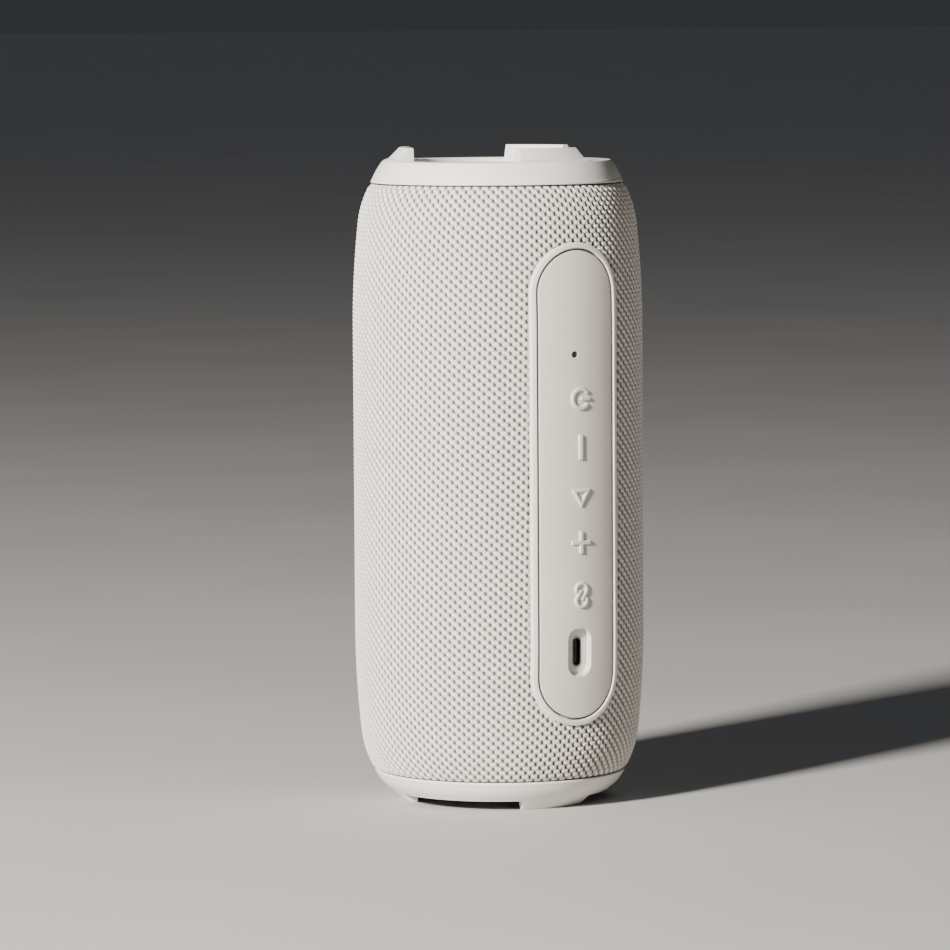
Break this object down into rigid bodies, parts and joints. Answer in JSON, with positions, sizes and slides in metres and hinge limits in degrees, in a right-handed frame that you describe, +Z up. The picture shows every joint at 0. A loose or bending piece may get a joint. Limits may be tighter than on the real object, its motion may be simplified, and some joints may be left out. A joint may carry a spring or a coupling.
{
  "type": "portable bluetooth speaker",
  "caption": "Cylindrical fabric-covered portable speaker with lugged end rings, passive radiators at both ends and an upright control panel with a charging port.",
  "frame": {"origin": "on the barrel's axis, in the plane of the lower ring's feet", "axes": "+Z up along the barrel, -Y towards the control panel, -X where the drivers fire"},
  "size_m": [0.088, 0.0885, 0.1986],
  "materials": {
    "woven_fabric": "matte woven",
    "ring_plastic": "soft satin",
    "bezel_plastic": "satin",
    "pad_silicone": "soft satin",
    "housing_plastic": "moulded matte",
    "black_rubber": "matte",
    "radiator_plate": "fine grained",
    "screw_steel": "zinc plated",
    "port_steel": "stamped bright",
    "port_tongue": "moulded",
    "circuit_board": "solder mask",
    "switch_plastic": "moulded",
    "driver_steel": "black coated",
    "magnet_steel": "dull plated",
    "cone_paper": "pressed pulp",
    "spider_cloth": "woven",
    "cell_wrap": "shrink sleeve",
    "lead_insulation": "smooth",
    "ribbon_film": "smooth",
    "component": "moulded"
  },
  "bodies": {
    "speaker": {"baffle_screws": "screw_steel", "battery_cell_left": "cell_wrap", "battery_cell_right": "cell_wrap", "battery_cradle": "housing_plastic", "battery_lead": "lead_insulation", "bluetooth_module": "port_steel", "board_components": "component", "board_connectors": "ribbon_film", "button_board": "circuit_board", "button_board_screws": "screw_steel", "control_pad": "pad_silicone", "cradle_screws": "screw_steel", "driver_baffle": "housing_plastic", "driver_frame_lower": "driver_steel", "driver_frame_upper": "driver_steel", "driver_leads": "lead_insulation", "driver_magnet_lower": "magnet_steel", "driver_magnet_upper": "magnet_steel", "driver_screws": "screw_steel", "driver_spider_lower": "spider_cloth", "driver_spider_upper": "spider_cloth", "driver_surround_lower": "black_rubber", "driver_surround_upper": "black_rubber", "end_gasket_bottom": "black_rubber", "end_gasket_top": "black_rubber", "end_ring_bottom": "ring_plastic", "end_ring_top": "ring_plastic", "fabric_sleeve": "woven_fabric", "front_grille": "housing_plastic", "main_board": "circuit_board", "main_board_screws": "screw_steel", "main_housing": "housing_plastic", "microphone": "port_steel", "microphone_gasket": "black_rubber", "panel_bezel": "bezel_plastic", "panel_ribbon": "ribbon_film", "panel_screws": "screw_steel", "panel_tray": "bezel_plastic", "passive_frame_bottom": "housing_plastic", "passive_frame_top": "housing_plastic", "passive_screws": "screw_steel", "passive_surround_bottom": "black_rubber", "passive_surround_top": "black_rubber", "switch_bodies": "switch_plastic", "usb_shell": "port_steel", "usb_tongue": "port_tongue"},
    "power_button": {"button_power": "pad_silicone", "switch_plunger_power": "switch_plastic"},
    "minus_button": {"button_minus": "pad_silicone", "switch_plunger_minus": "switch_plastic"},
    "play_button": {"button_play": "pad_silicone", "switch_plunger_play": "switch_plastic"},
    "plus_button": {"button_plus": "pad_silicone", "switch_plunger_plus": "switch_plastic"},
    "link_button": {"button_link": "pad_silicone", "switch_plunger_link": "switch_plastic"},
    "top_radiator": {"passive_plate_top": "radiator_plate"},
    "bottom_radiator": {"passive_plate_bottom": "radiator_plate"},
    "upper_cone": {"driver_cone_upper": "cone_paper"},
    "lower_cone": {"driver_cone_lower": "cone_paper"}
  },
  "joints": [
    {"name": "power_press", "type": "slide", "parent": "speaker", "child": "power_button", "axis": [0, 1, 0], "range_m": [0, 0.0004], "stiffness_N_per_m": 400, "springref_m": -0.004},
    {"name": "minus_press", "type": "slide", "parent": "speaker", "child": "minus_button", "axis": [0, 1, 0], "range_m": [0, 0.0004], "stiffness_N_per_m": 400, "springref_m": -0.004},
    {"name": "play_press", "type": "slide", "parent": "speaker", "child": "play_button", "axis": [0, 1, 0], "range_m": [0, 0.0004], "stiffness_N_per_m": 400, "springref_m": -0.004},
    {"name": "plus_press", "type": "slide", "parent": "speaker", "child": "plus_button", "axis": [0, 1, 0], "range_m": [0, 0.0004], "stiffness_N_per_m": 400, "springref_m": -0.004},
    {"name": "link_press", "type": "slide", "parent": "speaker", "child": "link_button", "axis": [0, 1, 0], "range_m": [0, 0.0004], "stiffness_N_per_m": 400, "springref_m": -0.004},
    {"name": "top_radiator_stroke", "type": "slide", "parent": "speaker", "child": "top_radiator", "axis": [0, 0, 1], "range_m": [-0.002, 0.002], "stiffness_N_per_m": 600, "deforming": ["passive_surround_top"]},
    {"name": "bottom_radiator_stroke", "type": "slide", "parent": "speaker", "child": "bottom_radiator", "axis": [0, 0, -1], "range_m": [-0.002, 0.002], "stiffness_N_per_m": 600, "deforming": ["passive_surround_bottom"]},
    {"name": "upper_cone_stroke", "type": "slide", "parent": "speaker", "child": "upper_cone", "axis": [-1, 0, 0], "range_m": [-0.0015, 0.0015], "stiffness_N_per_m": 1000, "deforming": ["driver_surround_upper", "driver_spider_upper"]},
    {"name": "lower_cone_stroke", "type": "slide", "parent": "speaker", "child": "lower_cone", "axis": [-1, 0, 0], "range_m": [-0.0015, 0.0015], "stiffness_N_per_m": 1000, "deforming": ["driver_surround_lower", "driver_spider_lower"]}
  ]
}
